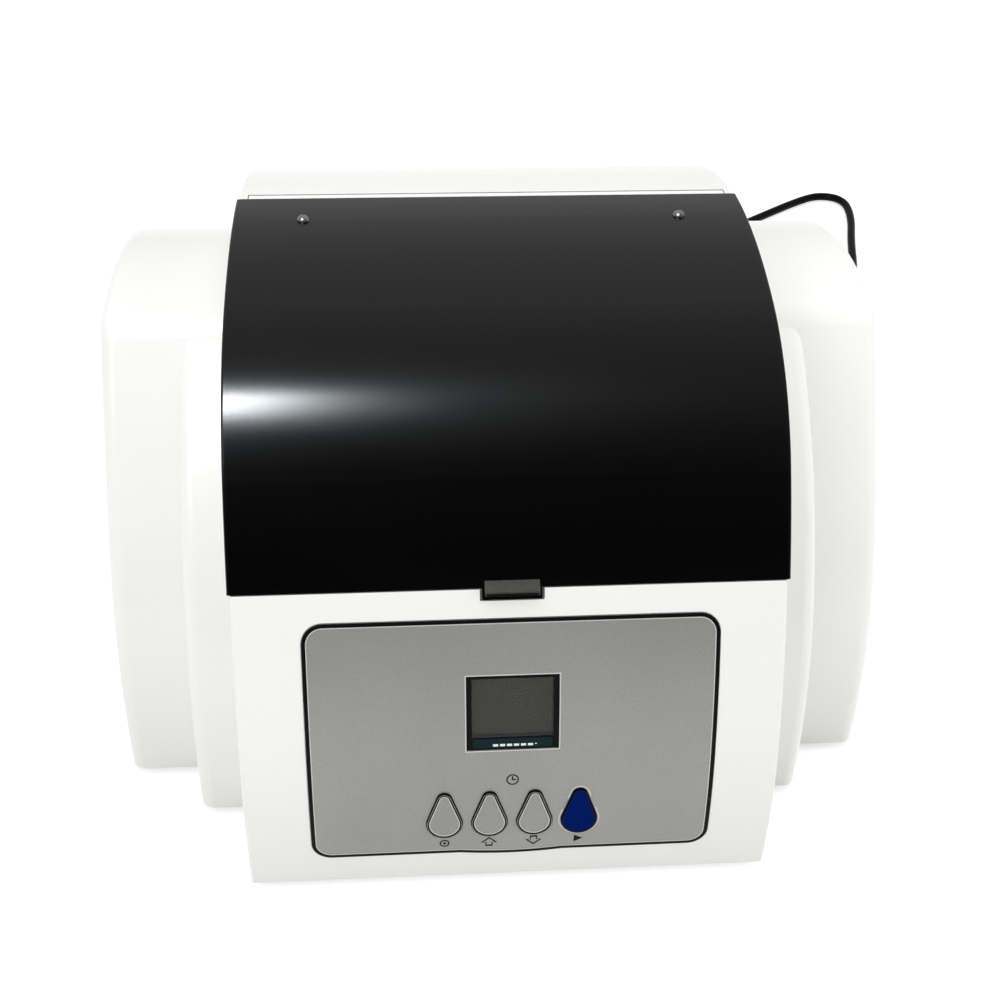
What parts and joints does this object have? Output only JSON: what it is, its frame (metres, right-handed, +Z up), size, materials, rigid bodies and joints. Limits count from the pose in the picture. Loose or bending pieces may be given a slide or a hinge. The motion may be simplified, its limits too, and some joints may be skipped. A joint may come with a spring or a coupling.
{
  "type": "dental amalgamator",
  "caption": "Bench-top capsule mixer: stepped white shell, smoked hinged lid over a mixing chamber, film keypad with display and drop-shaped keys, motor-driven swing arm, mains cord.",
  "frame": {"origin": "On the surface that the machine stands on, under the middle of the body's width and depth, measured without the cord.", "axes": "+Z up; -Y is the front with the keypad; +X is the right-hand side seen from the front."},
  "size_m": [0.4218, 0.5846, 0.1961],
  "materials": {
    "white_shell": "satin moulded",
    "base_black": "matte",
    "foot_rubber": "matte",
    "screw_steel": "satin",
    "smoked_lid": "smoked, polished",
    "lid_screw_chrome": "polished",
    "tub_grey": "moulded grain",
    "grommet_rubber": "matte",
    "overlay_film": "printed film",
    "display_frame": "satin",
    "display_glass": "clear",
    "display_dark": "matte",
    "key_recall_cap": "satin",
    "key_up_cap": "satin",
    "key_down_cap": "satin",
    "key_start_cap": "satin",
    "board_green": "solder mask",
    "switch_black": "matte",
    "sensor_black": "matte",
    "component_mix": "mixed",
    "spacer_nylon": "matte",
    "core_steel": "laminated",
    "winding_tape": "taped",
    "motor_steel": "painted",
    "bell_alloy": "cast",
    "bearing_steel": "ground",
    "shaft_steel": "ground",
    "rotor_copper": "laminated",
    "fan_plastic": "matte",
    "frame_zinc": "zinc plated",
    "isolator_rubber": "matte",
    "arm_alloy": "machined",
    "bush_bronze": "sintered",
    "jaw_steel": "turned",
    "knob_black": "matte",
    "spring_steel": "drawn wire",
    "magnet_nickel": "plated",
    "switch_frame": "matte",
    "rocker_black": "satin",
    "gland_black": "matte",
    "cord_black": "satin",
    "plug_black": "satin",
    "blade_brass": "plated"
  },
  "bodies": {
    "housing": {"upper_housing": "white_shell", "base_plate": "base_black", "rubber_feet": "foot_rubber", "case_screws": "screw_steel", "hinge_pin": "shaft_steel", "chamber_tub": "tub_grey", "slot_grommet": "grommet_rubber", "reed_sensor": "sensor_black", "keypad_overlay": "overlay_film", "display_bezel": "display_frame", "display_lens": "display_glass", "display_module": "display_dark", "control_board": "board_green", "key_switches": "switch_black", "board_screws": "screw_steel", "buzzer": "switch_black", "drive_frame": "frame_zinc", "isolators": "isolator_rubber", "frame_screws": "screw_steel", "motor_can": "motor_steel", "motor_front_bell": "bell_alloy", "motor_rear_bell": "bell_alloy", "motor_bearings": "bearing_steel", "motor_screws": "screw_steel", "pivot_pin": "shaft_steel", "transformer_core": "core_steel", "transformer_coil": "winding_tape", "power_board": "board_green", "board_spacers": "spacer_nylon", "power_components": "component_mix", "rocker_frame": "switch_frame", "fuse_holder": "switch_frame", "fuse_cap": "switch_frame", "cord_gland": "gland_black", "cord_run": "cord_black", "cord_coil": "cord_black", "plug": "plug_black", "plug_pins": "blade_brass"},
    "lid": {"lid_cover": "smoked_lid", "lid_pull_tab": "smoked_lid", "lid_hinge_strip": "white_shell", "lid_screws": "lid_screw_chrome", "lid_magnet": "magnet_nickel"},
    "rotor": {"motor_shaft": "shaft_steel", "motor_rotor": "rotor_copper", "cooling_fan": "fan_plastic", "drive_crank": "shaft_steel", "crank_bearing": "bearing_steel"},
    "arm": {"swing_arm": "arm_alloy", "pivot_bushes": "bush_bronze", "clamp_spring": "spring_steel"},
    "jaw": {"clamp_jaw": "jaw_steel", "clamp_knob": "knob_black"},
    "rocker": {"rocker": "rocker_black"},
    "key_recall": {"key_recall": "key_recall_cap"},
    "key_up": {"key_up": "key_up_cap"},
    "key_down": {"key_down": "key_down_cap"},
    "key_start": {"key_start": "key_start_cap"}
  },
  "joints": [
    {"name": "lid_hinge", "type": "hinge", "parent": "housing", "child": "lid", "pos_m": [0, 0.0515, 0.19207], "axis": [-1, 0, 0], "range_deg": [0, 95]},
    {"name": "key_recall_press", "type": "slide", "parent": "housing", "child": "key_recall", "axis": [0, 0.9968, -0.0802], "range_m": [0, 0.0006], "stiffness_N_per_m": 600, "springref_m": -0.0008},
    {"name": "key_up_press", "type": "slide", "parent": "housing", "child": "key_up", "axis": [0, 0.9968, -0.0802], "range_m": [0, 0.0006], "stiffness_N_per_m": 600, "springref_m": -0.0008},
    {"name": "key_down_press", "type": "slide", "parent": "housing", "child": "key_down", "axis": [0, 0.9968, -0.0802], "range_m": [0, 0.0006], "stiffness_N_per_m": 600, "springref_m": -0.0008},
    {"name": "key_start_press", "type": "slide", "parent": "housing", "child": "key_start", "axis": [0, 0.9968, -0.0802], "range_m": [0, 0.0006], "stiffness_N_per_m": 600, "springref_m": -0.0008},
    {"name": "mains_rocker", "type": "hinge", "parent": "housing", "child": "rocker", "pos_m": [0.108, 0.106, 0.04], "axis": [-1, 0, 0], "range_deg": [0, 18]},
    {"name": "motor_spin", "type": "hinge", "parent": "housing", "child": "rotor", "pos_m": [0, 0.03, 0.046], "axis": [0, 1, 0], "continuous": true},
    {"name": "arm_swing", "type": "hinge", "parent": "housing", "child": "arm", "pos_m": [0, -0.03, 0.08], "axis": [0, 1, 0], "range_deg": [-4.2, 4.2]},
    {"name": "clamp_slide", "type": "slide", "parent": "arm", "child": "jaw", "axis": [1, 0, 0], "range_m": [0, 0.005], "stiffness_N_per_m": 600, "springref_m": -0.004, "deforming": ["clamp_spring"]}
  ]
}
